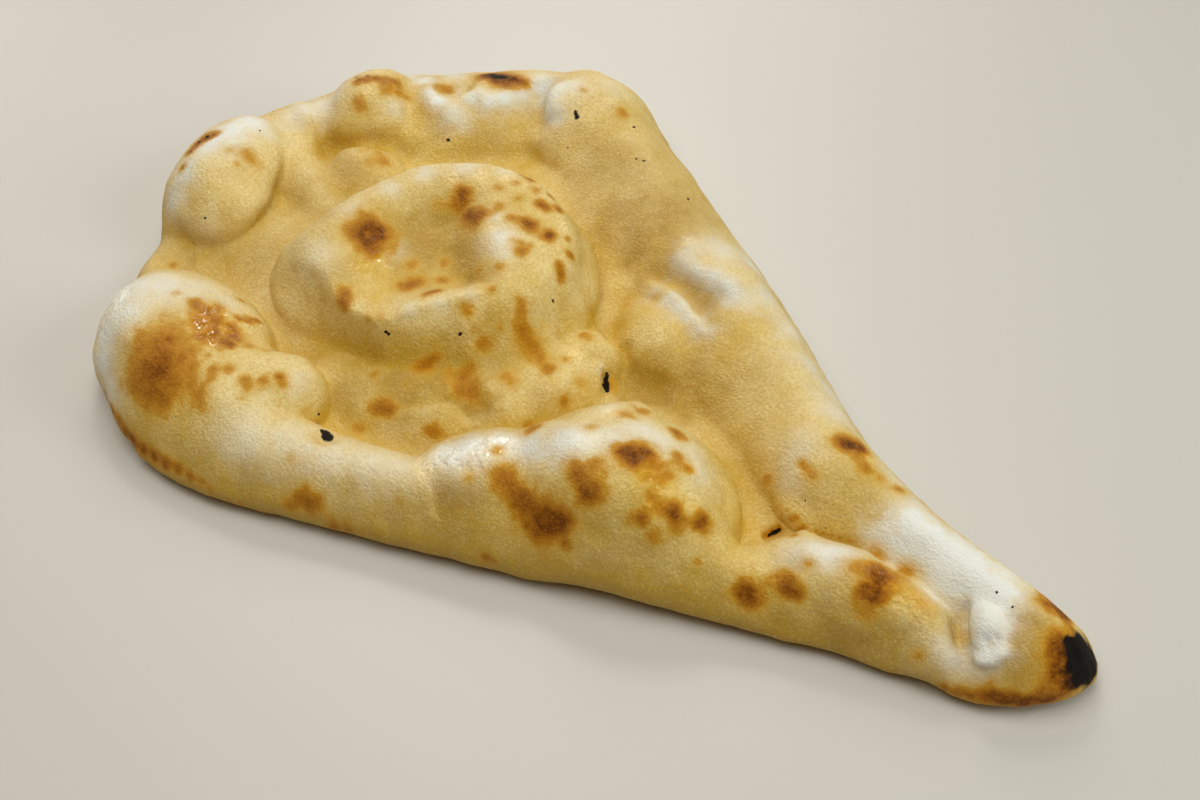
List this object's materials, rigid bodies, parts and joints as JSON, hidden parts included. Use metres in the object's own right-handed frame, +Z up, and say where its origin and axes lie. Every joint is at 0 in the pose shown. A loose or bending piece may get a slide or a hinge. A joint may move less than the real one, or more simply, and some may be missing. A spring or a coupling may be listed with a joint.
{
  "type": "naan bread",
  "caption": "Large drop-shaped naan bread with a broad puffed head, rolled edges, a collapsed crown bubble, a narrow charred tip and browned blisters, lying flat.",
  "frame": {"origin": "on the table, under the middle of the bread's box", "axes": "+X from the round head to the narrow tip, +Y to the far side, +Z up"},
  "size_m": [0.4288, 0.274, 0.0576],
  "materials": {
    "baked_dough": "soft baked crust, pale yellow with brown blisters and a thin film of butter"
  },
  "bodies": {
    "root": {"naan": "baked_dough"}
  },
  "joints": []
}
